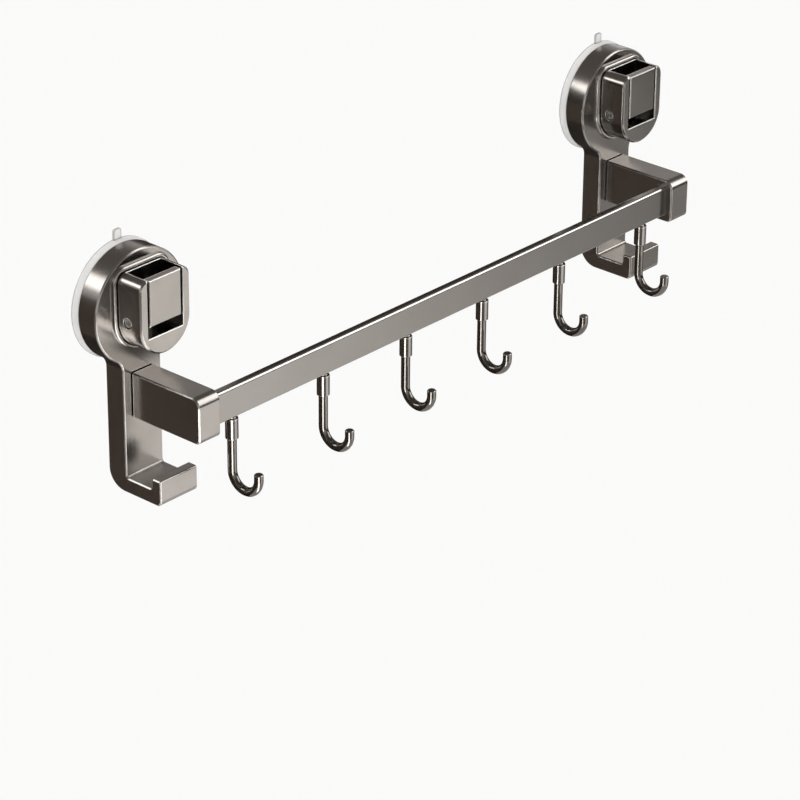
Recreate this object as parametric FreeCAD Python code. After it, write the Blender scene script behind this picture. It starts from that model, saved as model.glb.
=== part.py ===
import FreeCAD, Part
import math
import os

# Kitchen utensil rail: a flat bar with six sliding hooks, carried on two arms.
# Each arm stands on a leg that ends in a square hook, and each leg hangs from a
# round wall unit with a suction cup and a flip lever that draws the cup tight.
# +X runs along the rail, +Y points into the wall, +Z is up, all in millimetres.
# The origin lies on the wall, midway between the centres of the two cups.

V = FreeCAD.Vector

# Clearances
MOVING_GAP = 0.3        # between pieces that move past each other
PIN_GAP = 0.08          # round a shaft that turns in its bore
SEAT_GAP = 0.05         # round a piece that is pushed or screwed home
PILOT_SPARE = 0.5       # depth of a screw's hole past the screw's end

# How far a rib or stud is let into its root, and how far an opening runs past a face
ROOT = 1.0

# Round wall units and the legs below them, one casting each
UNIT_PITCH = 490.0      # between the centres of the two cups
DRUM_RADIUS = 40.0
DRUM_DEPTH = 16.5
DRUM_WALL = 3.0
EDGE_BEVEL = 0.9        # bright bevel along the outer edges
LEG_WIDTH = 34.2
LEG_WALL = 2.5
LEG_RIB = 2.0
NECK_RADIUS = 10.0      # hollow curve from the drum into the leg
HEEL_RADIUS = 14.0      # lower back corner of the leg

# Square hook at the foot of each leg
FLOOR_DROP = 118.5      # from the cup's centre down to the hook's floor
FLOOR_THICKNESS = 10.9
MOUTH_LENGTH = 24.0     # clear length of the hook's floor
LIP_THICKNESS = 7.8
LIP_HEIGHT = 7.8
HOOK_INNER_RADIUS = 2.0
LIP_EDGE_RADIUS = 1.2
LIP_TOE_RADIUS = 4.0

# Arms from the legs out to the rail
ARM_DROP = 44.5         # from the cup's centre down to the arm's top
ARM_HEIGHT = 32.4
ARM_WIDTH = 19.6
ARM_LENGTH = 61.5
ARM_WALL = 2.6
ARM_NOSE = 17.0         # solid front of the arm that holds the rail
ARM_NOSE_RADIUS = 6.5
ARM_TOE_RADIUS = 4.0    # lower front corner
ARM_SEAM_WIDTH = 1.0    # shadow gap where the arm meets the leg
ARM_SEAM_DEPTH = 0.8
ARM_BOSS_RADIUS = 4.2
ARM_BOSS_LENGTH = 15.0
ARM_SCREW_PITCH = 18.0
ARM_SCREW_RADIUS = 2.0
ARM_SCREW_GRIP = 12.0

# Rail, an extrusion with a hollow upper cell and an open channel below
RAIL_HEIGHT = 22.3
RAIL_DEPTH = 7.0
RAIL_SETBACK = 5.7      # of the rail's face behind the arm's face
RAIL_WALL = 1.2
RAIL_TOP_RADIUS = 2.0
RAIL_FOOT_RADIUS = 0.9
RAIL_INSERT = 14.0      # length of rail held inside each arm
SLOT_WIDTH = 3.0
SET_SCREW_RADIUS = 2.0
SET_SCREW_KEY_RADIUS = 1.1
SET_SCREW_KEY_DEPTH = 2.0

# Hooks, each with a slider in the rail's channel and a collar under the rail
HOOK_PLACES = (-216.1, -128.9, -46.2, 33.7, 117.9, 211.2)
SLIDER_LENGTH = 12.0
SLIDER_HEIGHT = 4.0
STUD_RADIUS = 1.2
STUD_LENGTH = 8.0
COLLAR_RADIUS = 4.4
COLLAR_LENGTH = 16.6
COLLAR_TAPER = 1.0
COLLAR_CAP = 2.6
COLLAR_NECK_RADIUS = 3.0
COLLAR_NECK_HEIGHT = 1.2
HOOK_ROD_RADIUS = 3.15
HOOK_SHANK = 39.2       # from the rail's underside to the centre of the bend
HOOK_BEND_RADIUS = 12.0
HOOK_TIP = 4.5
HOOK_TIP_BEVEL = 0.6

# Suction cups
CUP_RADIUS = 41.0
CUP_THICKNESS = 4.7
CUP_RIM = 0.8
DISH_RADIUS = 28.0
DISH_DEPTH = 2.5
CUP_BOSS_RADIUS = 12.0
CUP_BOSS_HEIGHT = 5.5
TAB_WIDTH = 6.5
TAB_REACH = 48.2        # from the cup's centre to the end of the pull tab
TAB_THICKNESS = 1.5

# Stem that the lever pulls, with the cup on its foot
FOOT_RADIUS = 9.0
FOOT_THICKNESS = 2.0
FOOT_FLOOR = 3.2        # rubber between the foot and the hollow of the cup
STEM_RADIUS = 5.0
EYE_RADIUS = 3.4
EYE_SHOULDER = 1.0      # from the eye's round to the end of the round stem
STEM_PIN_RADIUS = 1.5
STEM_TRAVEL = 3.0

# Lock housing, a block with a flat top and a round bottom
HOUSING_HALF_WIDTH = 22.2
HOUSING_HEIGHT = 23.3   # from the drum's face to the housing's face
HOUSING_TOP = 29.7
HOUSING_ROUND_CENTRE = -3.5
HOUSING_CORNER = 7.5
HOUSING_BEVEL = 1.2
FLANGE_SPREAD = 3.2
FLANGE_THICKNESS = 2.4
FLANGE_ROUND = 2.0
FLANGE_GROOVE = 0.8     # between the block's sides and the flange
WINDOW_HALF_WIDTH = 15.6
WINDOW_BEVEL = 0.5
WINDOW_SILL = -11.0
SILL_FALL = 1.8
FRONT_WALL = 3.0
BACK_WALL = 3.8
CAVITY_FLOOR = -15.5
CAVITY_CEILING = 8.5
HOUSING_SCREW_RADIUS = 1.5
HOUSING_SCREW_GRIP = 2.8
HOUSING_SCREW_PLACES = ((-11.0, 21.0), (11.0, 21.0), (0.0, -20.5))

# Lever with two ears, and the pin that it turns on
LEVER_OPEN_ANGLE = 65.0
LEVER_HALF_WIDTH = 14.1
LEVER_THICKNESS = 5.2
LEVER_TOP = 28.8
LEVER_BOTTOM = -3.6
LEVER_EDGE = 0.6
PIVOT_BEHIND_FACE = 12.5
PIVOT_DROP = 2.0        # from the cup's centre down to the pivot
PIVOT_RADIUS = 2.0
PIVOT_HEAD_RADIUS = 3.0
PIVOT_HEAD_THICKNESS = 0.8
PIVOT_HEAD_EDGE = 0.3
PIVOT_SLOT_WIDTH = 0.8
PIVOT_SLOT_DEPTH = 0.4
PIVOT_SINK_RADIUS = 3.7
PIVOT_SINK_DEPTH = 1.2
EAR_INNER = 8.0
EAR_THICKNESS = 4.0
EAR_HUB_RADIUS = 4.6
EAR_WEB_TOP = 14.0
CAM_START = 5.6         # from the pivot back to the stem's pin when locked
CAM_WALL = 1.4
CAM_STEPS = 8

# Places that follow from the sizes above
drum_back = -CUP_THICKNESS
drum_face = drum_back - DRUM_DEPTH
drum_inner = drum_face + DRUM_WALL
leg_half = LEG_WIDTH / 2
arm_half = ARM_WIDTH / 2
arm_face = drum_face - ARM_LENGTH
arm_top = -ARM_DROP
arm_middle = arm_top - ARM_HEIGHT / 2
arm_bottom = arm_top - ARM_HEIGHT
floor_top = -FLOOR_DROP
floor_bottom = floor_top - FLOOR_THICKNESS
rail_face = arm_face + RAIL_SETBACK
rail_back = rail_face + RAIL_DEPTH
rail_middle = rail_face + RAIL_DEPTH / 2
rail_top = arm_middle + RAIL_HEIGHT / 2
rail_bottom = arm_middle - RAIL_HEIGHT / 2
channel_floor = rail_bottom + RAIL_WALL
slider_bottom = channel_floor + MOVING_GAP
channel_ceiling = slider_bottom + SLIDER_HEIGHT + MOVING_GAP
housing_face = drum_face - HOUSING_HEIGHT
pivot_y = housing_face + PIVOT_BEHIND_FACE
stem_pin_y = pivot_y + CAM_START
cam_slot_half = STEM_PIN_RADIUS + MOVING_GAP
foot_back = -(DISH_DEPTH + FOOT_FLOOR)
foot_front = foot_back - MOVING_GAP - FOOT_THICKNESS


def box(x, y, z):
    """A block between the two limits given for each axis."""
    corner = V(min(x), min(y), min(z))
    return Part.makeBox(max(x) - min(x), max(y) - min(y), max(z) - min(z), corner)


def rod(radius, start, end):
    """A round rod between two points."""
    return Part.makeCylinder(radius, (end - start).Length, start, end - start)


def fuse(first, *others):
    return first.multiFuse(list(others)).removeSplitter()


def cut(body, *tools):
    return body.cut(list(tools)).removeSplitter()


def mirrored(shape):
    return shape.mirror(V(0, 0, 0), V(1, 0, 0))


def rounded_wire(corners):
    """A closed outline through (point, radius) corners, each rounded by its radius."""
    edges = []
    ends = []
    count = len(corners)
    for index, (point, radius) in enumerate(corners):
        before = (corners[index - 1][0] - point).normalize()
        after = (corners[(index + 1) % count][0] - point).normalize()
        if radius == 0:
            ends.append((point, point))
            continue
        half_angle = before.getAngle(after) / 2
        reach = radius / math.tan(half_angle)
        middle = (before + after).normalize()
        first = point + before * reach
        last = point + after * reach
        crown = point + middle * (radius / math.sin(half_angle) - radius)
        edges.append(Part.Arc(first, crown, last).toShape())
        ends.append((first, last))
    for index in range(count):
        start = ends[index - 1][1]
        end = ends[index][0]
        if (end - start).Length > 1e-6:
            edges.append(Part.makeLine(start, end))
    return Part.Wire(Part.sortEdges(edges)[0])


def profile_along_x(corners, half_width):
    """A (y, z, radius) outline drawn out to the same width on both sides."""
    wire = rounded_wire([(V(-half_width, y, z), radius) for y, z, radius in corners])
    return Part.Face(wire).extrude(V(2 * half_width, 0, 0))


def bevel(shape, size, wanted):
    """A bevel along every edge that passes the test."""
    edges = [edge for edge in shape.Edges if wanted(edge)]
    return shape.makeChamfer(size, edges)


def lies_at(edge, axis, value):
    """True where the whole edge lies in the plane at that value of the axis."""
    low = getattr(edge.BoundBox, axis + "Min")
    high = getattr(edge.BoundBox, axis + "Max")
    return abs(low - value) < 0.001 and abs(high - value) < 0.001


def drum():
    """The round unit's outer form, bevelled at the front and the back."""
    body = rod(DRUM_RADIUS, V(0, drum_back, 0), V(0, drum_face, 0))
    return body.makeChamfer(EDGE_BEVEL, [e for e in body.Edges if e.BoundBox.YLength < 0.001])


def neck():
    """The stretch where the drum's outline curves into the leg's sides."""
    curve_x = leg_half + NECK_RADIUS
    curve_z = -math.sqrt((DRUM_RADIUS + NECK_RADIUS) ** 2 - curve_x ** 2)
    curve_centre = V(curve_x, drum_face, curve_z)
    to_drum = (V(0, drum_face, 0) - curve_centre).normalize()
    to_leg = V(-1, 0, 0)
    on_curve = [curve_centre + way.normalize() * NECK_RADIUS
                for way in (to_drum, to_drum + to_leg, to_leg)]
    right = Part.Arc(*on_curve).toShape()
    left = Part.Arc(*[V(-point.x, point.y, point.z) for point in on_curve]).toShape()
    edges = [left, right]
    for point in (on_curve[0], on_curve[2]):
        edges.append(Part.makeLine(point, V(-point.x, point.y, point.z)))
    body = Part.Face(Part.Wire(Part.sortEdges(edges)[0])).extrude(V(0, DRUM_DEPTH, 0))

    def curved(edge):
        return edge.BoundBox.YLength < 0.001 and edge.Curve.TypeId == "Part::GeomCircle"
    return bevel(body, EDGE_BEVEL, curved)


def leg():
    """The leg and its square hook, cut from one side profile."""
    mouth_end = drum_face - MOUTH_LENGTH
    lip_face = mouth_end - LIP_THICKNESS
    lip_top = floor_top + LIP_HEIGHT
    inside_drum = -DRUM_RADIUS / 2
    body = profile_along_x((
        (drum_face, inside_drum, 0),
        (drum_face, floor_top, HOOK_INNER_RADIUS),
        (mouth_end, floor_top, HOOK_INNER_RADIUS),
        (mouth_end, lip_top, LIP_EDGE_RADIUS),
        (lip_face, lip_top, LIP_EDGE_RADIUS),
        (lip_face, floor_bottom, LIP_TOE_RADIUS),
        (drum_back, floor_bottom, HEEL_RADIUS),
        (drum_back, inside_drum, 0)), leg_half)

    def along_side(edge):
        at_side = lies_at(edge, "X", leg_half) or lies_at(edge, "X", -leg_half)
        return at_side and not lies_at(edge, "Z", inside_drum)
    return bevel(body, EDGE_BEVEL, along_side)


def bracket():
    """Drum, neck, leg and square hook in one casting, cored from the back."""
    body = fuse(drum(), neck(), leg())
    bore = DRUM_RADIUS - DRUM_WALL
    core_half = leg_half - LEG_WALL
    core_front = drum_face + LEG_WALL
    core_bottom = floor_bottom + HEEL_RADIUS + LEG_WALL
    core = box((-core_half, core_half), (core_front, 0), (core_bottom, 0))
    core = cut(core, rod(DRUM_RADIUS, V(0, drum_face, 0), V(0, 0, 0)))
    for height in (arm_middle, arm_bottom - ARM_WALL):
        rib = (height - LEG_RIB / 2, height + LEG_RIB / 2)
        core = cut(core, box((-core_half, core_half), (core_front, 0), rib))
    ear_room = EAR_INNER + EAR_THICKNESS + 2 * MOVING_GAP
    tools = [rod(bore, V(0, drum_inner, 0), V(0, 0, 0)), core]
    tools.append(box((-ear_room, ear_room), (drum_face, 0), (CAVITY_FLOOR, CAVITY_CEILING)))
    for x, z in HOUSING_SCREW_PLACES:
        tools.append(rod(HOUSING_SCREW_RADIUS + SEAT_GAP, V(x, drum_face, z), V(x, 0, z)))
    for z in arm_screw_heights():
        tools.append(rod(ARM_SCREW_RADIUS + SEAT_GAP, V(0, drum_face, z), V(0, 0, z)))
    return cut(body, *tools)


def arm_screw_heights():
    return arm_middle - ARM_SCREW_PITCH / 2, arm_middle + ARM_SCREW_PITCH / 2


def arm_slice(inset):
    """The stretch of the arm beside the leg, smaller all round by inset."""
    half = arm_half - inset
    return box((-half, half), (drum_face, drum_face - ARM_SEAM_WIDTH),
               (arm_bottom + inset, arm_top - inset))


def arm():
    """The left unit's hollow arm, with the rail's socket in its inner side."""
    body = profile_along_x((
        (drum_face, arm_top, 0),
        (arm_face, arm_top, ARM_NOSE_RADIUS),
        (arm_face, arm_bottom, ARM_TOE_RADIUS),
        (drum_face, arm_bottom, 0)), arm_half)

    def along_side(edge):
        at_side = lies_at(edge, "X", arm_half) or lies_at(edge, "X", -arm_half)
        return at_side and not lies_at(edge, "Y", drum_face)
    body = bevel(body, EDGE_BEVEL, along_side)
    seam = cut(arm_slice(0), arm_slice(ARM_SEAM_DEPTH))
    hollow_half = arm_half - ARM_WALL
    hollow = box((-hollow_half, hollow_half), (arm_face + ARM_NOSE, drum_face),
                 (arm_bottom + ARM_WALL, arm_top - ARM_WALL))
    pilots = []
    for z in arm_screw_heights():
        root = V(0, drum_face, z)
        boss = rod(ARM_BOSS_RADIUS, root, root - V(0, ARM_BOSS_LENGTH, 0))
        wall_z = arm_top if z > arm_middle else arm_bottom
        web = box((-ARM_BOSS_RADIUS, ARM_BOSS_RADIUS), (drum_face, drum_face - ARM_BOSS_LENGTH), (z, wall_z))
        hollow = cut(hollow, boss, web)
        pilot_end = root - V(0, ARM_SCREW_GRIP + PILOT_SPARE, 0)
        pilots.append(rod(ARM_SCREW_RADIUS + SEAT_GAP, root, pilot_end))
    socket = box((arm_half - RAIL_INSERT - SEAT_GAP, arm_half),
                 (rail_face - SEAT_GAP, rail_back + SEAT_GAP),
                 (rail_bottom - SEAT_GAP, rail_top + SEAT_GAP))
    screw_x = set_screw_place()
    screw_hole = rod(SET_SCREW_RADIUS + SEAT_GAP, V(screw_x, rail_middle, arm_bottom),
                     V(screw_x, rail_middle, rail_bottom))
    return cut(body, seam, hollow, socket, screw_hole, *pilots)


def set_screw_place():
    """How far in from the arm's middle the set screw stands."""
    return arm_half - RAIL_INSERT / 2


def set_screw():
    """A headless screw in the arm's underside, pressed against the rail."""
    x = set_screw_place()
    foot = V(x, rail_middle, arm_bottom + ARM_WALL / 2)
    body = rod(SET_SCREW_RADIUS, foot, V(x, rail_middle, rail_bottom))
    return cut(body, rod(SET_SCREW_KEY_RADIUS, foot, foot + V(0, 0, SET_SCREW_KEY_DEPTH)))


def screw_along_y(head_at, x, z, radius, length):
    """A pan-head screw whose head sits on the plane head_at, pointing away from the wall."""
    seat = V(x, head_at, z)
    shank = rod(radius, seat, seat - V(0, length, 0))
    head = rod(radius * 1.9, seat, seat + V(0, radius * 1.2, 0))
    return fuse(shank, head)


def housing_screws():
    length = DRUM_WALL + HOUSING_SCREW_GRIP
    return Part.makeCompound([
        screw_along_y(drum_inner, x, z, HOUSING_SCREW_RADIUS, length)
        for x, z in HOUSING_SCREW_PLACES])


def arm_screws():
    length = LEG_WALL + ARM_SCREW_GRIP
    return Part.makeCompound([
        screw_along_y(drum_face + LEG_WALL, 0, z, ARM_SCREW_RADIUS, length)
        for z in arm_screw_heights()])


def d_block(grow, front, back):
    """A block with a flat top and a round bottom, larger all round by grow."""
    half = HOUSING_HALF_WIDTH + grow
    top = HOUSING_TOP + grow
    centre = HOUSING_ROUND_CENTRE
    body = Part.makeBox(2 * half, back - front, top - centre, V(-half, front, centre))
    uprights = [e for e in body.Edges if e.BoundBox.YLength > 0.001 and abs(e.BoundBox.ZMin - top) < 0.001]
    body = body.makeFillet(HOUSING_CORNER + grow, uprights)
    return fuse(body, rod(half, V(0, back, centre), V(0, front, centre)))


def lock_housing():
    """The block over the lever, open at the top and in front."""
    outer = d_block(0, housing_face, drum_face)
    outer = bevel(outer, HOUSING_BEVEL, lambda e: lies_at(e, "Y", housing_face))
    flange_face = drum_face - FLANGE_THICKNESS
    groove_floor = flange_face + FLANGE_GROOVE
    flange = d_block(FLANGE_SPREAD, flange_face, drum_face)
    flange = flange.makeFillet(FLANGE_ROUND, [e for e in flange.Edges if lies_at(e, "Y", flange_face)])
    flange = cut(flange, d_block(FLANGE_GROOVE, flange_face, groove_floor))
    half = WINDOW_HALF_WIDTH
    wall_inner = housing_face + FRONT_WALL
    over_top = HOUSING_TOP + FLANGE_SPREAD + ROOT
    lever_bay = profile_along_x((
        (housing_face - ROOT, WINDOW_SILL, 0),
        (housing_face, WINDOW_SILL, 0),
        (wall_inner, WINDOW_SILL - SILL_FALL, 0),
        (wall_inner, CAVITY_FLOOR, 0),
        (drum_face, CAVITY_FLOOR, 0),
        (drum_face, CAVITY_CEILING, 0),
        (drum_face - BACK_WALL, CAVITY_CEILING, 0),
        (drum_face - BACK_WALL, over_top, 0),
        (housing_face - ROOT, over_top, 0)), half)
    body = cut(fuse(outer, flange), lever_bay)

    def round_window(edge):
        at_side = lies_at(edge, "X", half) or lies_at(edge, "X", -half)
        return lies_at(edge, "Y", housing_face) and (at_side or lies_at(edge, "Z", WINDOW_SILL))
    body = bevel(body, WINDOW_BEVEL, round_window)
    tools = []
    reach = HOUSING_HALF_WIDTH
    pivot = V(0, pivot_y, -PIVOT_DROP)
    tools.append(rod(PIVOT_RADIUS + SEAT_GAP, pivot - V(reach, 0, 0), pivot + V(reach, 0, 0)))
    for side in (-1, 1):
        outside = pivot + V(side * reach, 0, 0)
        inside = outside - V(side * PIVOT_SINK_DEPTH, 0, 0)
        tools.append(rod(PIVOT_SINK_RADIUS, outside, inside))
    for x, z in HOUSING_SCREW_PLACES:
        mouth = V(x, drum_face, z)
        pilot_end = mouth - V(0, HOUSING_SCREW_GRIP + PILOT_SPARE, 0)
        tools.append(rod(HOUSING_SCREW_RADIUS + SEAT_GAP, mouth, pilot_end))
    return cut(body, *tools)


def lever_pin():
    """The pin through the housing and the lever's ears, with a slotted head in each sink."""
    pivot = V(0, pivot_y, -PIVOT_DROP)
    head_start = HOUSING_HALF_WIDTH - PIVOT_SINK_DEPTH + SEAT_GAP
    head_end = head_start + PIVOT_HEAD_THICKNESS
    slot_floor = head_end - PIVOT_SLOT_DEPTH
    slot_y = (pivot_y - PIVOT_SLOT_WIDTH / 2, pivot_y + PIVOT_SLOT_WIDTH / 2)
    slot_z = (-PIVOT_DROP - PIVOT_HEAD_RADIUS, -PIVOT_DROP + PIVOT_HEAD_RADIUS)
    pieces = [rod(PIVOT_RADIUS, pivot - V(head_start, 0, 0), pivot + V(head_start, 0, 0))]
    for side in (-1, 1):
        inner = pivot + V(side * head_start, 0, 0)
        outer = pivot + V(side * head_end, 0, 0)
        head = rod(PIVOT_HEAD_RADIUS, inner, outer)
        head = bevel(head, PIVOT_HEAD_EDGE, lambda e, x=outer.x: lies_at(e, "X", x))
        slot = box((side * slot_floor, side * head_end), slot_y, slot_z)
        pieces.append(cut(head, slot))
    return fuse(*pieces)


def cam_path():
    """Where the stem's pin runs in the ears: the lift grows evenly with the lever's turn."""
    points = []
    for step in range(CAM_STEPS + 1):
        share = step / CAM_STEPS
        angle = -math.radians(LEVER_OPEN_ANGLE * share)
        back = CAM_START + STEM_TRAVEL * share
        up = PIVOT_DROP
        points.append(V(0, back * math.cos(angle) - up * math.sin(angle),
                        back * math.sin(angle) + up * math.cos(angle)))
    return points


def cam_band(half_thickness, x_from, x_to):
    """A band of even width along the cam path, with round ends."""
    path = cam_path()
    sides = ([], [])
    for index, point in enumerate(path):
        ahead = path[min(index + 1, len(path) - 1)]
        behind = path[max(index - 1, 0)]
        along = (ahead - behind).normalize()
        across = V(0, -along.z, along.y)
        sides[0].append(point + across * half_thickness)
        sides[1].append(point - across * half_thickness)
    start_crown = path[0] + (path[0] - path[1]).normalize() * half_thickness
    end_crown = path[-1] + (path[-1] - path[-2]).normalize() * half_thickness
    edges = [Part.Arc(sides[0][0], start_crown, sides[1][0]).toShape(),
             Part.Arc(sides[0][-1], end_crown, sides[1][-1]).toShape()]
    for side in sides:
        curve = Part.BSplineCurve()
        curve.interpolate(side)
        edges.append(curve.toShape())
    face = Part.Face(Part.Wire(Part.sortEdges(edges)[0]))
    face.translate(V(x_from, pivot_y, -PIVOT_DROP))
    return face.extrude(V(x_to - x_from, 0, 0))


def lock_lever():
    """The flip plate and its two ears, each with a cam slot for the stem's pin."""
    plate_back = housing_face + LEVER_THICKNESS
    plate = box((-LEVER_HALF_WIDTH, LEVER_HALF_WIDTH), (housing_face, plate_back),
                (LEVER_BOTTOM, LEVER_TOP))
    plate = bevel(plate, LEVER_EDGE, lambda e: lies_at(e, "Y", housing_face))
    pieces = [plate]
    tools = []
    for side in (-1, 1):
        x_from = side * EAR_INNER
        x_to = side * (EAR_INNER + EAR_THICKNESS)
        inner = V(x_from, pivot_y, -PIVOT_DROP)
        outer = V(x_to, pivot_y, -PIVOT_DROP)
        web = Part.makePolygon([
            V(x_from, plate_back - ROOT, LEVER_BOTTOM),
            V(x_from, plate_back - ROOT, EAR_WEB_TOP),
            V(x_from, pivot_y, EAR_HUB_RADIUS - PIVOT_DROP),
            V(x_from, pivot_y, -EAR_HUB_RADIUS - PIVOT_DROP),
            V(x_from, plate_back - ROOT, LEVER_BOTTOM)])
        pieces.append(Part.Face(web).extrude(V(x_to - x_from, 0, 0)))
        pieces.append(rod(EAR_HUB_RADIUS, inner, outer))
        pieces.append(cam_band(cam_slot_half + CAM_WALL, x_from, x_to))
        tools.append(cam_band(cam_slot_half, x_from, x_to))
        tools.append(rod(PIVOT_RADIUS + PIN_GAP, inner, outer))
    return cut(fuse(*pieces), *tools)


def cup_stem():
    """A foot held in the cup, a round stem and a flat eye for the cross pin."""
    neck_end = V(0, stem_pin_y + EYE_RADIUS + EYE_SHOULDER, 0)
    foot_start = V(0, foot_front + FOOT_THICKNESS, 0)
    foot = rod(FOOT_RADIUS, foot_start, V(0, foot_front, 0))
    shaft = rod(STEM_RADIUS, foot_start, neck_end)
    eye_end = stem_pin_y - EYE_RADIUS
    tongue = profile_along_x((
        (neck_end.y + EYE_SHOULDER, -EYE_RADIUS, 0),
        (neck_end.y + EYE_SHOULDER, EYE_RADIUS, 0),
        (eye_end, EYE_RADIUS, EYE_RADIUS),
        (eye_end, -EYE_RADIUS, EYE_RADIUS)), STEM_RADIUS)
    reach = V(STEM_RADIUS, 0, 0)
    eye_centre = V(0, stem_pin_y, 0)
    bore = rod(STEM_PIN_RADIUS + SEAT_GAP, eye_centre - reach, eye_centre + reach)
    return cut(fuse(foot, shaft, tongue), bore)


def stem_pin():
    """The cross pin that rides in both cam slots."""
    reach = EAR_INNER + EAR_THICKNESS
    return rod(STEM_PIN_RADIUS, V(-reach, stem_pin_y, 0), V(reach, stem_pin_y, 0))


def suction_cup():
    """A clear disc with a shallow hollow towards the wall and a boss round the stem's foot."""
    boss_front = -CUP_THICKNESS - CUP_BOSS_HEIGHT
    pocket = FOOT_RADIUS + MOVING_GAP
    throat = STEM_RADIUS + MOVING_GAP
    pocket_front = foot_front - MOVING_GAP
    crown = V(DISH_RADIUS / 2, -DISH_DEPTH * 3 / 4, 0)
    dish = Part.Arc(V(0, -DISH_DEPTH, 0), crown, V(DISH_RADIUS, 0, 0)).toShape()
    line = Part.makePolygon([
        V(DISH_RADIUS, 0, 0),
        V(CUP_RADIUS, 0, 0),
        V(CUP_RADIUS, -CUP_RIM, 0),
        V(DRUM_RADIUS - EDGE_BEVEL, -CUP_THICKNESS, 0),
        V(CUP_BOSS_RADIUS, -CUP_THICKNESS, 0),
        V(CUP_BOSS_RADIUS, boss_front, 0),
        V(throat, boss_front, 0),
        V(throat, pocket_front, 0),
        V(pocket, pocket_front, 0),
        V(pocket, foot_back, 0),
        V(0, foot_back, 0),
        V(0, -DISH_DEPTH, 0)])
    face = Part.Face(Part.Wire([dish] + line.Edges))
    disc = face.revolve(V(0, 0, 0), V(0, 1, 0), 360)
    tab_half = TAB_WIDTH / 2
    tab_back = -CUP_RIM / 2
    tab = box((-tab_half, tab_half), (tab_back, tab_back - TAB_THICKNESS),
              (DISH_RADIUS + CUP_RIM, TAB_REACH))
    corners = [e for e in tab.Edges if e.BoundBox.YLength > 0.001 and abs(e.BoundBox.ZMin - TAB_REACH) < 0.001]
    tab = tab.makeFillet(tab_half / 2, corners)
    rim_only = rod(CUP_RADIUS, V(0, 0, 0), V(0, -CUP_THICKNESS, 0))
    return fuse(disc, cut(tab, rim_only), disc.common(tab))


def rail():
    """The flat bar, with a closed upper cell and a slotted channel for the sliders."""
    reach = UNIT_PITCH / 2 - arm_half + RAIL_INSERT
    outer = profile_along_x((
        (rail_face, rail_bottom, RAIL_FOOT_RADIUS),
        (rail_back, rail_bottom, RAIL_FOOT_RADIUS),
        (rail_back, rail_top, RAIL_TOP_RADIUS),
        (rail_face, rail_top, RAIL_TOP_RADIUS)), reach)
    inside = (rail_face + RAIL_WALL, rail_back - RAIL_WALL)
    slot = (rail_middle - SLOT_WIDTH / 2, rail_middle + SLOT_WIDTH / 2)
    length = (-reach, reach)
    return cut(outer,
               box(length, inside, (channel_ceiling + RAIL_WALL, rail_top - RAIL_WALL)),
               box(length, inside, (channel_floor, channel_ceiling)),
               box(length, slot, (rail_bottom, channel_floor)))


def hook_slider(x):
    """A nut that runs in the rail's channel, with a stud down through the slot."""
    half_depth = RAIL_DEPTH / 2 - RAIL_WALL - MOVING_GAP
    block = box((x - SLIDER_LENGTH / 2, x + SLIDER_LENGTH / 2),
                (rail_middle - half_depth, rail_middle + half_depth),
                (slider_bottom, slider_bottom + SLIDER_HEIGHT))
    top = V(x, rail_middle, slider_bottom + ROOT)
    return fuse(block, rod(STUD_RADIUS, top, top - V(0, 0, STUD_LENGTH + ROOT)))


def hook_collar(x):
    """A sleeve over the hook's rod, with a short neck under the rail."""
    top = rail_bottom - MOVING_GAP
    bottom = top - COLLAR_LENGTH
    bore = HOOK_ROD_RADIUS + SEAT_GAP
    line = Part.makePolygon([
        V(STUD_RADIUS + SEAT_GAP, 0, top),
        V(COLLAR_NECK_RADIUS, 0, top),
        V(COLLAR_NECK_RADIUS, 0, top - COLLAR_NECK_HEIGHT),
        V(COLLAR_RADIUS, 0, top - COLLAR_NECK_HEIGHT),
        V(COLLAR_RADIUS, 0, bottom + COLLAR_TAPER),
        V(bore + SEAT_GAP, 0, bottom),
        V(bore, 0, bottom),
        V(bore, 0, top - COLLAR_CAP),
        V(STUD_RADIUS + SEAT_GAP, 0, top - COLLAR_CAP),
        V(STUD_RADIUS + SEAT_GAP, 0, top)])
    sleeve = Part.Face(line).revolve(V(0, 0, 0), V(0, 0, 1), 360)
    sleeve.translate(V(x, rail_middle, 0))
    return sleeve


def hook(x):
    """A round rod bent into a J whose open side faces away from the wall."""
    shank_top = V(x, rail_middle, rail_bottom - MOVING_GAP - COLLAR_CAP)
    bend_z = rail_bottom - HOOK_SHANK
    bend_start = V(x, rail_middle, bend_z)
    bend_end = V(x, rail_middle - 2 * HOOK_BEND_RADIUS, bend_z)
    tip = bend_end + V(0, 0, HOOK_TIP)
    shank = rod(HOOK_ROD_RADIUS, shank_top, bend_start)
    circle = Part.makeCircle(HOOK_ROD_RADIUS, bend_start, V(0, 0, 1))
    bend_centre = V(x, rail_middle - HOOK_BEND_RADIUS, bend_z)
    bend = Part.Face(Part.Wire(circle)).revolve(bend_centre, V(-1, 0, 0), 180)
    point = rod(HOOK_ROD_RADIUS, bend_end, tip)
    point = bevel(point, HOOK_TIP_BEVEL, lambda e: lies_at(e, "Z", tip.z))
    stud_hole = rod(STUD_RADIUS + SEAT_GAP, shank_top, shank_top - V(0, 0, STUD_LENGTH))
    return cut(fuse(shank, bend, point), stud_hole)


def save(name, shape):
    shape.exportStep("parts/" + name + ".step")


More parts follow.
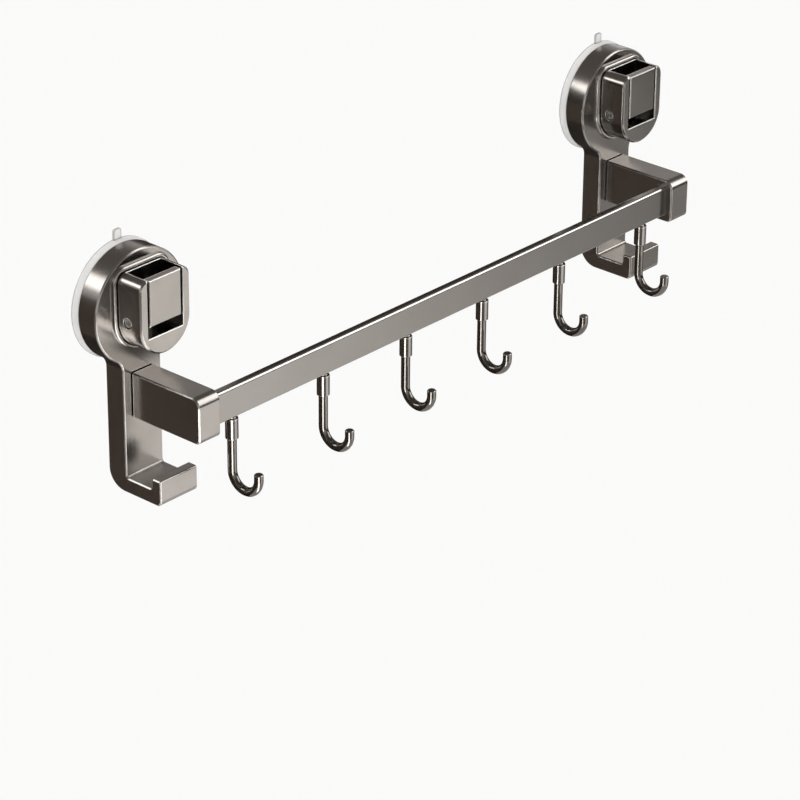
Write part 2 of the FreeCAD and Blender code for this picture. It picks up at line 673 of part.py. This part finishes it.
os.makedirs("parts", exist_ok=True)
unit_pieces = {
    "bracket": bracket(),
    "lock_housing": lock_housing(),
    "lock_lever": lock_lever(),
    "lever_pin": lever_pin(),
    "suction_cup": suction_cup(),
    "cup_stem": cup_stem(),
    "stem_pin": stem_pin(),
    "housing_screws": housing_screws(),
    "arm_screws": arm_screws(),
    "arm": arm(),
    "set_screw": set_screw(),
}
for piece_name, left_shape in unit_pieces.items():
    right_shape = mirrored(left_shape)
    left_shape.translate(V(-UNIT_PITCH / 2, 0, 0))
    right_shape.translate(V(UNIT_PITCH / 2, 0, 0))
    save("left_" + piece_name, left_shape)
    save("right_" + piece_name, right_shape)
save("rail", rail())
for number, place in enumerate(HOOK_PLACES, start=1):
    save(f"hook_slider_{number}", hook_slider(place))
    save(f"hook_collar_{number}", hook_collar(place))
    save(f"hook_{number}", hook(place))
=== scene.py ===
import math

import bmesh
import bpy
from mathutils import Matrix, Vector

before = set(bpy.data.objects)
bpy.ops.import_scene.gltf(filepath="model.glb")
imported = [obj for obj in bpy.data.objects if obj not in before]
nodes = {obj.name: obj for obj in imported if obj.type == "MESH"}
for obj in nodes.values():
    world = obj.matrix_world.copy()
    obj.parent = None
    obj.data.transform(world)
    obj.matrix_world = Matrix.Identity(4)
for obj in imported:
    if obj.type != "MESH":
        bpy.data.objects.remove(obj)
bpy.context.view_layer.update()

scene = bpy.context.scene
scene.view_settings.view_transform = "Standard"

# The camera looks at the rail from the front left and above, with a long lens from
# two and a half metres, so that the far end is only a little smaller than the near one.
CAMERA_AZIMUTH = -48.347
CAMERA_ELEVATION = 26.311
CAMERA_ROLL = 0.481
CAMERA_DISTANCE = 2.4995
CAMERA_TARGET = Vector((0.0088, -0.0197, -0.1604))
CAMERA_LENS = 157.83

camera_turn = (Matrix.Rotation(math.radians(CAMERA_AZIMUTH), 4, "Z")
               @ Matrix.Rotation(math.radians(90 - CAMERA_ELEVATION), 4, "X")
               @ Matrix.Rotation(math.radians(CAMERA_ROLL), 4, "Z"))
camera = bpy.data.objects.new("camera", bpy.data.cameras.new("camera"))
camera.data.lens = CAMERA_LENS
camera.data.sensor_width = 36
camera.data.clip_end = 60
camera.matrix_world = (Matrix.Translation(CAMERA_TARGET) @ camera_turn
                       @ Matrix.Translation((0, 0, CAMERA_DISTANCE)))
scene.collection.objects.link(camera)
scene.camera = camera

# The studio stands on a pale floor that runs out to a white horizon. The floor glows a
# little for the camera and for what shines through the cups, and keeps the shadow.
FLOOR_HEIGHT = -1.1
FLOOR_HALF = 25.0
FLOOR_COLOUR = (0.93, 0.935, 0.94, 1)
FLOOR_WHITENING = 0.6


def link_mesh(name, mesh_bm, finish):
    """Makes a mesh object at the origin out of a bmesh, in one finish."""
    mesh = bpy.data.meshes.new(name)
    mesh_bm.to_mesh(mesh)
    mesh_bm.free()
    mesh.materials.append(finish)
    made = bpy.data.objects.new(name, mesh)
    scene.collection.objects.link(made)
    return made


def new_finish(name):
    """A new material, with its node tree and its shader."""
    material = bpy.data.materials.new(name)
    material.use_nodes = True
    tree = material.node_tree
    return material, tree, tree.nodes["Principled BSDF"]


def add_node(tree, kind, values=(), **settings):
    """Adds a node to a tree, with its settings and then the values of its inputs."""
    node = tree.nodes.new(kind)
    for setting, value in settings.items():
        setattr(node, setting, value)
    for socket, value in dict(values).items():
        node.inputs[socket].default_value = value
    return node


def matt_surface(name, colour):
    """A plain matt finish for what stands round the object."""
    material, _, shader = new_finish(name)
    shader.inputs["Base Color"].default_value = colour
    shader.inputs["Roughness"].default_value = 0.9
    shader.inputs["Specular IOR Level"].default_value = 0.1
    return material


pale_floor = matt_surface("pale_floor", FLOOR_COLOUR)
floor_tree = pale_floor.node_tree
floor_ray = add_node(floor_tree, "ShaderNodeLightPath")
floor_seen = add_node(floor_tree, "ShaderNodeMath", operation="MAXIMUM")
floor_share = add_node(floor_tree, "ShaderNodeMath", {1: FLOOR_WHITENING}, operation="MULTIPLY")
floor_white = add_node(floor_tree, "ShaderNodeEmission")
floor_blend = add_node(floor_tree, "ShaderNodeMixShader")
join = floor_tree.links.new
join(floor_ray.outputs["Is Camera Ray"], floor_seen.inputs[0])
join(floor_ray.outputs["Is Transmission Ray"], floor_seen.inputs[1])
join(floor_seen.outputs["Value"], floor_share.inputs[0])
join(floor_share.outputs["Value"], floor_blend.inputs["Fac"])
join(floor_tree.nodes["Principled BSDF"].outputs["BSDF"], floor_blend.inputs[1])
join(floor_white.outputs["Emission"], floor_blend.inputs[2])
join(floor_blend.outputs["Shader"], floor_tree.nodes["Material Output"].inputs["Surface"])

floor_bm = bmesh.new()
bmesh.ops.create_grid(floor_bm, x_segments=1, y_segments=1, size=FLOOR_HALF,
                      matrix=Matrix.Translation((0, 0, FLOOR_HEIGHT)))
floor = link_mesh("floor", floor_bm, pale_floor)

# Brown, black and grey sheets stand round the rail and lie behind it. Only polished
# surfaces mirror them, and they give the metal its dark tones. A small flag behind the
# rail keeps the rail's top edge dark.
BROWN = (0.14, 0.112, 0.092, 1)
BLACK = (0.045, 0.038, 0.033, 1)
GREY = (0.36, 0.34, 0.32, 1)
SCREEN_STEPS = 24
BACK_HALF = 2.4
BACK_PLACE = (0, 2.75, FLOOR_HEIGHT + 0.02)


def for_metal_only(made):
    """Keeps a sheet out of every view but what polished surfaces mirror."""
    for sort in ("camera", "diffuse", "transmission", "shadow", "volume_scatter"):
        setattr(made, "visible_" + sort, False)


def curved_screen(name, finish, azimuths, heights, radius):
    """An upright sheet round the rail, between two azimuths and two heights."""
    screen_bm = bmesh.new()
    start, stop = (math.radians(azimuth) for azimuth in azimuths)
    place = (radius * math.cos(start), radius * math.sin(start))
    foot, head = (screen_bm.verts.new((*place, height)) for height in heights)
    edge = screen_bm.edges.new((foot, head))
    bmesh.ops.spin(screen_bm, geom=[foot, head, edge], cent=(0, 0, 0), axis=(0, 0, 1),
                   dvec=(0, 0, 0), angle=stop - start, steps=SCREEN_STEPS, use_merge=False)
    for_metal_only(link_mesh(name, screen_bm, finish))


def upright_sheet(name, finish, start, end, heights):
    """A flat upright sheet between two places on the floor's plan and two heights."""
    sheet_bm = bmesh.new()
    low, high = heights
    corners = ((start, low), (end, low), (end, high), (start, high))
    sheet_bm.faces.new([sheet_bm.verts.new((*place, height)) for place, height in corners])
    for_metal_only(link_mesh(name, sheet_bm, finish))


brown_sheet = matt_surface("brown_sheet", BROWN)
black_sheet = matt_surface("black_sheet", BLACK)
grey_sheet = matt_surface("grey_sheet", GREY)
curved_screen("left_screen", brown_sheet, azimuths=(112, 203),
              heights=(FLOOR_HEIGHT, 0.20), radius=1.3)
curved_screen("front_screen", grey_sheet, azimuths=(203, 264),
              heights=(FLOOR_HEIGHT, -0.25), radius=1.6)
curved_screen("right_screen", brown_sheet, azimuths=(-18, 30),
              heights=(FLOOR_HEIGHT, -0.10), radius=1.3)
curved_screen("right_back_screen", black_sheet, azimuths=(30, 80),
              heights=(FLOOR_HEIGHT, 0.34), radius=1.3)
curved_screen("right_front_strip", black_sheet, azimuths=(-78, -15),
              heights=(-0.29, 0.02), radius=1.12)
back_bm = bmesh.new()
bmesh.ops.create_grid(back_bm, x_segments=1, y_segments=1, size=BACK_HALF,
                      matrix=Matrix.Translation(BACK_PLACE))
for_metal_only(link_mesh("back_sheet", back_bm, black_sheet))
upright_sheet("rail_flag", black_sheet, start=(-0.09, 0.05), end=(0.32, 0.05),
              heights=(0.0, 0.055))

# A light card stands low at the front right. It is brightest at its left end and fades
# towards its right one, and the rail's front mirrors that.
CARD_START = (0.05, -1.20)
CARD_END = (1.62, -0.74)
CARD_HEIGHTS = (-1.0, -0.42)
CARD_FADE = {"From Min": 0.60, "From Max": 1.27, "To Min": 1.90, "To Max": 0.36}
CARD_COLOUR = (1.0, 0.98, 0.95, 1)

card_finish, card_tree, _ = new_finish("fading_card")
card_place = add_node(card_tree, "ShaderNodeTexCoord")
card_split = add_node(card_tree, "ShaderNodeSeparateXYZ")
card_fade = add_node(card_tree, "ShaderNodeMapRange", CARD_FADE)
card_glow = add_node(card_tree, "ShaderNodeEmission", {"Color": CARD_COLOUR})
join = card_tree.links.new
join(card_place.outputs["Object"], card_split.inputs["Vector"])
join(card_split.outputs["X"], card_fade.inputs["Value"])
join(card_fade.outputs["Result"], card_glow.inputs["Strength"])
join(card_glow.outputs["Emission"], card_tree.nodes["Material Output"].inputs["Surface"])
upright_sheet("right_card", card_finish, CARD_START, CARD_END, CARD_HEIGHTS)

# The sky is white at the horizon and a dark warm grey overhead. Each tone stands at the
# upward part of the direction in which it is seen, from 0 at the horizon to 1 overhead.
SKY_TONES = (
    (0.10, (0.97, 0.97, 0.97, 1)),
    (0.42, (0.52, 0.49, 0.465, 1)),
    (0.56, (0.22, 0.20, 0.185, 1)),
    (1.0, (0.18, 0.165, 0.15, 1)))

world = bpy.data.worlds.new("studio")
world.use_nodes = True
scene.world = world
sky = world.node_tree
sky_coordinate = add_node(sky, "ShaderNodeTexCoord")
sky_split = add_node(sky, "ShaderNodeSeparateXYZ")
sky_ramp = add_node(sky, "ShaderNodeValToRGB")
sky_stops = sky_ramp.color_ramp.elements
sky_stops.remove(sky_stops[1])
sky_stops[0].position, sky_stops[0].color = SKY_TONES[0]
for upward, tone in SKY_TONES[1:]:
    sky_stops.new(upward).color = tone
join = sky.links.new
join(sky_coordinate.outputs["Generated"], sky_split.inputs["Vector"])
join(sky_split.outputs["Z"], sky_ramp.inputs["Fac"])
join(sky_ramp.outputs["Color"], sky.nodes["Background"].inputs["Color"])

# Three square lamps stand high at the front right, low and close at the front left, and
# high behind at the left. They show only in what is polished. A wide soft lamp overhead
# lights what is matt, and nothing mirrors it.
STUDIO_MIDDLE = Vector((0, -0.03, -0.04))


def soft_box(name, azimuth, elevation, distance, size, radiance):
    """A square lamp in that direction from the rail, which only polished metal mirrors."""
    a = math.radians(azimuth)
    e = math.radians(elevation)
    away = Vector((math.cos(a) * math.cos(e), math.sin(a) * math.cos(e), math.sin(e)))
    turn = away.to_track_quat("Z", "Y").to_matrix().to_4x4()
    lamp = bpy.data.lights.new(name, "AREA")
    lamp.shape = "RECTANGLE"
    lamp.size, lamp.size_y = size
    lamp.energy = radiance * math.pi * size[0] * size[1]
    made = bpy.data.objects.new(name, lamp)
    made.matrix_world = Matrix.Translation(STUDIO_MIDDLE + away * distance) @ turn
    made.visible_camera = False
    made.visible_diffuse = False
    scene.collection.objects.link(made)


soft_box("key_box", azimuth=-40, elevation=30, distance=3.2, size=(1.6, 2.6), radiance=3.4)
soft_box("front_strip", azimuth=210.7, elevation=-31.7, distance=0.438, size=(0.11, 0.33),
         radiance=8.0)
soft_box("left_rim_box", azimuth=137, elevation=28.5, distance=1.6, size=(0.9, 0.42),
         radiance=4.2)

ceiling = bpy.data.lights.new("soft_ceiling", "SUN")
ceiling.angle = math.radians(120)
ceiling.energy = 2.35
ceiling_lamp = bpy.data.objects.new("soft_ceiling", ceiling)
ceiling_lamp.matrix_world = (Matrix.Rotation(math.radians(-40), 4, "Z")
                             @ Matrix.Rotation(math.radians(25), 4, "X"))
ceiling_lamp.visible_glossy = False
scene.collection.objects.link(ceiling_lamp)

# The wall units are zinc castings, cored from the back, plated in smoky gunmetal and
# polished to a satin: a bevelled drum that runs down into a leg with a square hook.
CAST_COLOUR = (0.305, 0.290, 0.273, 1)
CAST_SHADE = (0.272, 0.255, 0.238, 1)
# The edge colour is a painted highlight: a pale colour laid along outer edges so they show as
# bright lines.
CAST_EDGE_HIGHLIGHT = (0.80, 0.78, 0.75, 1)
# The next two values are painted shade: a near-black colour laid into crevices and inner corners,
# within that reach.
CREVICE_SHADE_COLOUR = (0.012, 0.010, 0.009, 1)
CREVICE_SHADE_REACH = 0.0015
SATIN_INPUTS = {"Cloud Scale": 30.0, "Line Scale": 900.0, "Along X": 1.0, "Along Y": 1.0,
                "Along Z": 1.0}
EDGE_INPUTS = {"Width": 0.0012, "Rounding": 0.0007}


def new_group(name, inputs, masks, normals=()):
    """An empty shader node group with number inputs, mask outputs and normal outputs."""
    group = bpy.data.node_groups.new(name, "ShaderNodeTree")
    for socket, value in inputs.items():
        made = group.interface.new_socket(name=socket, in_out="INPUT",
                                          socket_type="NodeSocketFloat")
        made.default_value = value
    for socket in masks:
        group.interface.new_socket(name=socket, in_out="OUTPUT", socket_type="NodeSocketFloat")
    for socket in normals:
        group.interface.new_socket(name=socket, in_out="OUTPUT", socket_type="NodeSocketVector")
    return group, add_node(group, "NodeGroupInput"), add_node(group, "NodeGroupOutput")


def plated_satin():
    """Clouds of tone and fine polishing lines that run one way over the surface."""
    group, start, end = new_group("plated_satin", SATIN_INPUTS, ("Cloud", "Lines"))
    place = add_node(group, "ShaderNodeTexCoord")
    cloud = add_node(group, "ShaderNodeTexNoise", {"Detail": 3.0, "Roughness": 0.55})
    stretch = add_node(group, "ShaderNodeCombineXYZ")
    drawn = add_node(group, "ShaderNodeVectorMath", operation="MULTIPLY")
    lines = add_node(group, "ShaderNodeTexNoise", {"Detail": 2.0})
    join = group.links.new
    join(place.outputs["Object"], cloud.inputs["Vector"])
    join(start.outputs["Cloud Scale"], cloud.inputs["Scale"])
    for axis in "XYZ":
        join(start.outputs["Along " + axis], stretch.inputs[axis])
    join(place.outputs["Object"], drawn.inputs[0])
    join(stretch.outputs["Vector"], drawn.inputs[1])
    join(drawn.outputs["Vector"], lines.inputs["Vector"])
    join(start.outputs["Line Scale"], lines.inputs["Scale"])
    join(cloud.outputs["Fac"], end.inputs["Cloud"])
    join(lines.outputs["Fac"], end.inputs["Lines"])
    return group


def edge_highlight_and_rounding():
    """Outer edges: a mask that is 1 along them, where a pale painted highlight goes, and a
    rounded normal.
    """
    group, start, end = new_group("edge_highlight_and_rounding", EDGE_INPUTS, ("Edge",), ("Normal",))
    rounded = add_node(group, "ShaderNodeBevel", samples=6)
    thin = add_node(group, "ShaderNodeAmbientOcclusion", inside=True, samples=8)
    mask = add_node(group, "ShaderNodeMapRange", {"From Min": 0.90, "From Max": 0.60})
    join = group.links.new
    join(start.outputs["Rounding"], rounded.inputs["Radius"])
    join(start.outputs["Width"], thin.inputs["Distance"])
    join(thin.outputs["AO"], mask.inputs["Value"])
    join(mask.outputs["Result"], end.inputs["Edge"])
    join(rounded.outputs["Normal"], end.inputs["Normal"])
    return group


def painted_crevice_shade():
    """A value that falls to 0 in crevices and inner corners, where near-black painted shade goes.
    """
    group, start, end = new_group("painted_crevice_shade", {"Reach": CREVICE_SHADE_REACH}, ("Open",))
    occluded = add_node(group, "ShaderNodeAmbientOcclusion", samples=8)
    clear_of = add_node(group, "ShaderNodeMapRange", {"From Min": 0.25, "From Max": 0.70})
    join = group.links.new
    join(start.outputs["Reach"], occluded.inputs["Distance"])
    join(occluded.outputs["AO"], clear_of.inputs["Value"])
    join(clear_of.outputs["Result"], end.inputs["Open"])
    return group


satin_group = plated_satin()
edge_highlight_group = edge_highlight_and_rounding()
crevice_shade_group = painted_crevice_shade()


def tone_ramp(tree, shade, colour, ends):
    """A ramp from the shade to the colour between two positions."""
    ramp = add_node(tree, "ShaderNodeValToRGB")
    for stop, position, tone in zip(ramp.color_ramp.elements, ends, (shade, colour)):
        stop.position = position
        stop.color = tone
    return ramp


def plated_metal(name, colour, shade, edge, rough, drawn=(1, 1, 1), cloud_scale=30.0,
                 line_scale=900.0, line_height=0.000004):
    """A plated metal finish: colour clouds, polishing lines, painted highlights on the edges,
    painted shade in crevices.
    """
    material, tree, shader = new_finish(name)
    shader.inputs["Metallic"].default_value = 1.0
    satin = add_node(tree, "ShaderNodeGroup", node_tree=satin_group)
    satin.inputs["Cloud Scale"].default_value = cloud_scale
    satin.inputs["Line Scale"].default_value = line_scale
    for axis, value in zip("XYZ", drawn):
        satin.inputs["Along " + axis].default_value = value
    edge_lights = add_node(tree, "ShaderNodeGroup", node_tree=edge_highlight_group)
    crevice_shade = add_node(tree, "ShaderNodeGroup", node_tree=crevice_shade_group)
    tone = tone_ramp(tree, shade, colour, ends=(0.35, 0.65))
    # Painted highlight: the edge mask mixes the pale edge colour into the base colour.
    edge_lit = add_node(tree, "ShaderNodeMix", {"B": edge}, data_type="RGBA")
    # Painted shade: the occlusion mask lays the near-black colour into crevices and inner
    # corners.
    shaded = add_node(tree, "ShaderNodeMix", {"A": CREVICE_SHADE_COLOUR}, data_type="RGBA")
    gloss = add_node(tree, "ShaderNodeMapRange", {
        "From Min": 0.25, "From Max": 0.75, "To Min": rough[0], "To Max": rough[1]})
    relief = add_node(tree, "ShaderNodeBump", {"Distance": line_height})
    join = tree.links.new
    join(satin.outputs["Cloud"], tone.inputs["Fac"])
    join(tone.outputs["Color"], edge_lit.inputs["A"])
    join(edge_lights.outputs["Edge"], edge_lit.inputs["Factor"])
    join(crevice_shade.outputs["Open"], shaded.inputs["Factor"])
    join(edge_lit.outputs["Result"], shaded.inputs["B"])
    join(shaded.outputs["Result"], shader.inputs["Base Color"])
    join(satin.outputs["Lines"], gloss.inputs["Value"])
    join(gloss.outputs["Result"], shader.inputs["Roughness"])
    join(satin.outputs["Lines"], relief.inputs["Height"])
    join(edge_lights.outputs["Normal"], relief.inputs["Normal"])
    join(relief.outputs["Normal"], shader.inputs["Normal"])
    return material


def finish_nodes(material, names):
    """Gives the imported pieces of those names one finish."""
    for name in names:
        packed = nodes[name]
        packed.data.materials.clear()
        packed.data.materials.append(material)


def both_sides(name):
    """The names of a piece on the left unit and on the right one."""
    return "left_" + name, "right_" + name


casting = plated_metal("gunmetal_casting", CAST_COLOUR, CAST_SHADE, CAST_EDGE_HIGHLIGHT,
                       rough=(0.20, 0.255))
finish_nodes(casting, both_sides("bracket"))

# The lock housing is a smaller casting of the same plating, screwed to the drum from
# inside. The flip lever closes flush with its face and leaves a gap for a finger.
housing_finish = plated_metal("gunmetal_housing", CAST_COLOUR, CAST_SHADE, CAST_EDGE_HIGHLIGHT,
                              rough=(0.17, 0.22), cloud_scale=55.0)
finish_nodes(housing_finish, both_sides("lock_housing"))
lever_finish = plated_metal("gunmetal_lever", CAST_COLOUR, CAST_SHADE, CAST_EDGE_HIGHLIGHT,
                            rough=(0.18, 0.22), drawn=(1, 1, 0.05), line_scale=2500.0,
                            line_height=0.000001)
finish_nodes(lever_finish, both_sides("lock_lever"))

# The arms are cast hollow and plated in the same gunmetal. Two screws from inside the
# casting hold each one, and its nose grips an end of the rail.
arm_finish = plated_metal("gunmetal_arm", CAST_COLOUR, CAST_SHADE, CAST_EDGE_HIGHLIGHT,
                          rough=(0.20, 0.24), drawn=(1, 0.05, 1), line_scale=2500.0,
                          line_height=0.000001)
finish_nodes(arm_finish, both_sides("arm"))

# The rail is an aluminium extrusion, plated like the castings, with drawing lines
# that run along it.
RAIL_COLOUR = (0.268, 0.255, 0.240, 1)
RAIL_SHADE = (0.245, 0.230, 0.215, 1)
rail_finish = plated_metal("gunmetal_rail", RAIL_COLOUR, RAIL_SHADE, CAST_EDGE_HIGHLIGHT,
                           rough=(0.18, 0.23), drawn=(0.01, 1, 1), cloud_scale=12.0,
                           line_scale=1400.0)
finish_nodes(rail_finish, ["rail"])

# Six hooks are bent from round steel rod, each in a turned sleeve, or collar, that sits
# under the rail. Both are plated in dark chrome.
CHROME_COLOUR = (0.175, 0.163, 0.152, 1)
CHROME_SHADE = (0.150, 0.139, 0.128, 1)
# The chrome edge colour is a painted highlight along outer edges.
CHROME_EDGE_HIGHLIGHT = (0.6, 0.58, 0.55, 1)
COLLAR_COLOUR = (0.25, 0.235, 0.22, 1)
COLLAR_SHADE = (0.215, 0.20, 0.187, 1)


def each_of_six(name):
    """The names of a piece that each hook has one of."""
    return [f"{name}_{n}" for n in range(1, 7)]


hook_finish = plated_metal("dark_chrome", CHROME_COLOUR, CHROME_SHADE, CHROME_EDGE_HIGHLIGHT,
                           rough=(0.07, 0.12), line_height=0.000001)
finish_nodes(hook_finish, each_of_six("hook"))
collar_finish = plated_metal("dark_chrome_turned", COLLAR_COLOUR, COLLAR_SHADE, CHROME_EDGE_HIGHLIGHT,
                             rough=(0.10, 0.16), drawn=(0.1, 0.1, 1), line_height=0.000001)
finish_nodes(collar_finish, each_of_six("hook_collar"))

# Each hook's slider is a nut of black acetal, moulded. It runs inside the rail's channel,
# with a stud down through the slot.
SLIDER_COLOUR = (0.035, 0.034, 0.033, 1)
SLIDER_SHADE = (0.022, 0.021, 0.021, 1)


def moulded_plastic(name, colour, shade):
    """Moulded plastic with a faint grain and slow changes of tone."""
    material, tree, shader = new_finish(name)
    satin = add_node(tree, "ShaderNodeGroup", {"Cloud Scale": 90.0, "Line Scale": 1600.0},
                     node_tree=satin_group)
    tone = tone_ramp(tree, shade, colour, ends=(0.3, 0.7))
    gloss = add_node(tree, "ShaderNodeMapRange", {"To Min": 0.35, "To Max": 0.5})
    relief = add_node(tree, "ShaderNodeBump", {"Distance": 0.00001})
    join = tree.links.new
    join(satin.outputs["Cloud"], tone.inputs["Fac"])
    join(tone.outputs["Color"], shader.inputs["Base Color"])
    join(satin.outputs["Cloud"], gloss.inputs["Value"])
    join(gloss.outputs["Result"], shader.inputs["Roughness"])
    join(satin.outputs["Lines"], relief.inputs["Height"])
    join(relief.outputs["Normal"], shader.inputs["Normal"])
    return material


slider_finish = moulded_plastic("black_acetal", SLIDER_COLOUR, SLIDER_SHADE)
finish_nodes(slider_finish, each_of_six("hook_slider"))

# The suction cups are clear soft plastic, moulded in one piece with their pull tabs. They
# look milky in the middle of the disc, and the grey along their thin edges is painted shade.
CUP_COLOUR = (0.97, 0.97, 0.965, 1)
CUP_EDGE_SHADE = (0.30, 0.30, 0.29, 1)

cup_finish, cup_tree, cup_shader = new_finish("clear_rubber")
cup_shader.inputs["Transmission Weight"].default_value = 0.35
cup_shader.inputs["IOR"].default_value = 1.42
cup_satin = add_node(cup_tree, "ShaderNodeGroup", {"Cloud Scale": 120.0}, node_tree=satin_group)
cup_gloss = add_node(cup_tree, "ShaderNodeMapRange", {"To Min": 0.10, "To Max": 0.30})
# Painted shade: the edge mask mixes a grey into the cup's colour along its thin edges.
cup_edge_shade_mask = add_node(cup_tree, "ShaderNodeGroup", {"Width": 0.0010}, node_tree=edge_highlight_group)
cup_tint = add_node(cup_tree, "ShaderNodeMix", {"A": CUP_COLOUR, "B": CUP_EDGE_SHADE},
                    data_type="RGBA")
join = cup_tree.links.new
join(cup_edge_shade_mask.outputs["Edge"], cup_tint.inputs["Factor"])
join(cup_tint.outputs["Result"], cup_shader.inputs["Base Color"])
join(cup_satin.outputs["Cloud"], cup_gloss.inputs["Value"])
join(cup_gloss.outputs["Result"], cup_shader.inputs["Roughness"])
finish_nodes(cup_finish, both_sides("suction_cup"))

# The stem holds the cup's middle and is moulded in dark acetal. The cross pin in its eye
# rides in the lever's cam slots, and both it and the lever's pivot pin are dark steel.
STEM_COLOUR = (0.080, 0.080, 0.085, 1)
STEM_SHADE = (0.060, 0.060, 0.064, 1)
PIN_COLOUR = (0.19, 0.18, 0.17, 1)
PIN_SHADE = (0.15, 0.14, 0.13, 1)
stem_finish = moulded_plastic("dark_acetal", STEM_COLOUR, STEM_SHADE)
finish_nodes(stem_finish, both_sides("cup_stem"))
pin_finish = plated_metal("pin_steel", PIN_COLOUR, PIN_SHADE, CHROME_EDGE_HIGHLIGHT,
                          rough=(0.28, 0.34), drawn=(0.1, 1, 1))
finish_nodes(pin_finish, both_sides("lever_pin") + both_sides("stem_pin"))

# The screws are zinc-plated steel. Pan heads hold the housing and the arm from inside the
# casting, and a headless screw under each arm is pressed against the rail.
ZINC_COLOUR = (0.55, 0.53, 0.47, 1)
ZINC_SHADE = (0.47, 0.45, 0.40, 1)
# The zinc edge colour is a painted highlight along outer edges.
ZINC_EDGE_HIGHLIGHT = (0.7, 0.69, 0.66, 1)
screw_finish = plated_metal("zinc_screws", ZINC_COLOUR, ZINC_SHADE, ZINC_EDGE_HIGHLIGHT, rough=(0.30, 0.42))
for screws in ("housing_screws", "arm_screws", "set_screw"):
    finish_nodes(screw_finish, both_sides(screws))
